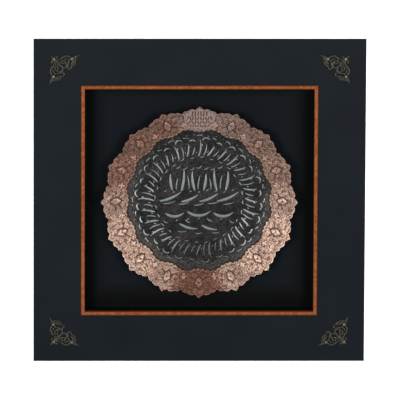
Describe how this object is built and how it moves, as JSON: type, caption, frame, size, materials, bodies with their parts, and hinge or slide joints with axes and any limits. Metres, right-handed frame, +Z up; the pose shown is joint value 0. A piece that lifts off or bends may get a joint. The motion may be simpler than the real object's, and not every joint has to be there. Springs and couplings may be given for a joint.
{
  "type": "framed copper wall plaque",
  "caption": "Scalloped engraved copper dish with raised strokes in its dark well, set deep in a square black frame with pierced brass corners; hangs on a wall.",
  "frame": {"origin": "centre of the flat back, on the wall plane", "axes": "+Z up, +X to the right seen from the front, +Y into the wall, the face looks along -Y"},
  "size_m": [0.6, 0.0442, 0.6],
  "materials": {
    "black_lacquer": "satin black lacquer",
    "copper_paint": "worn copper-coloured paint",
    "black_panel": "matt black",
    "copper": "engraved copper, aged, with a blackened well",
    "aged_brass": "dull aged cast brass",
    "nail_brass": "polished",
    "zinc_steel": "zinc plated"
  },
  "bodies": {
    "root": {"rail_top": "black_lacquer", "rail_right": "black_lacquer", "rail_bottom": "black_lacquer", "rail_left": "black_lacquer", "fillet_top": "copper_paint", "fillet_right": "copper_paint", "fillet_bottom": "copper_paint", "fillet_left": "copper_paint", "back_panel": "black_panel", "copper_plaque": "copper", "ornament_top_left": "aged_brass", "ornament_top_right": "aged_brass", "ornament_bottom_right": "aged_brass", "ornament_bottom_left": "aged_brass", "nail_top_left_1": "nail_brass", "nail_top_left_2": "nail_brass", "nail_top_left_3": "nail_brass", "nail_top_right_1": "nail_brass", "nail_top_right_2": "nail_brass", "nail_top_right_3": "nail_brass", "nail_bottom_right_1": "nail_brass", "nail_bottom_right_2": "nail_brass", "nail_bottom_right_3": "nail_brass", "nail_bottom_left_1": "nail_brass", "nail_bottom_left_2": "nail_brass", "nail_bottom_left_3": "nail_brass", "hanger_plate": "zinc_steel", "hanger_screw_lower": "zinc_steel", "hanger_screw_upper": "zinc_steel"}
  },
  "joints": []
}
